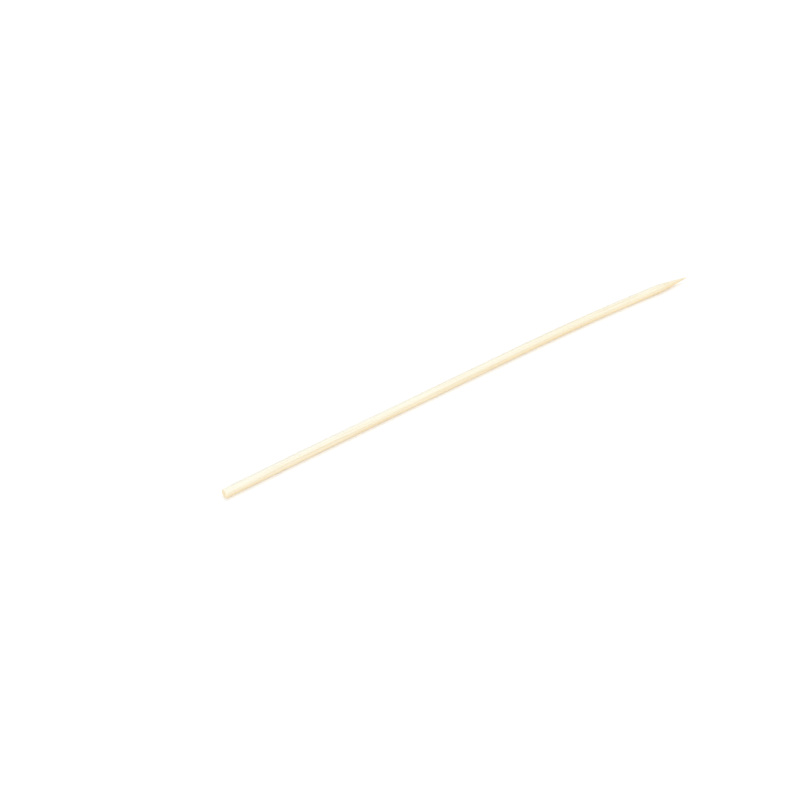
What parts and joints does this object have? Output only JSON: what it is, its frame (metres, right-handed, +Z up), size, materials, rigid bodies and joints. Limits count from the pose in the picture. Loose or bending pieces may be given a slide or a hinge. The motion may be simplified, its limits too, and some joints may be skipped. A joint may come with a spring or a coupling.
{
  "type": "bamboo skewer",
  "caption": "Thin round bamboo rod, slightly bowed, ground to a sharp point at one end and cut square with a worn edge at the other, for threading and holding food.",
  "frame": {"origin": "under the middle of the box around the skewer, on the surface that it lies on", "axes": "+X along the skewer from the blunt end to the point, +Y to the side that its bow bulges to, +Z up"},
  "size_m": [0.25, 0.0068, 0.0039],
  "materials": {
    "bamboo": "bare, pale cream, fine fibres along the length, no coating"
  },
  "bodies": {
    "root": {"skewer": "bamboo"}
  },
  "joints": []
}
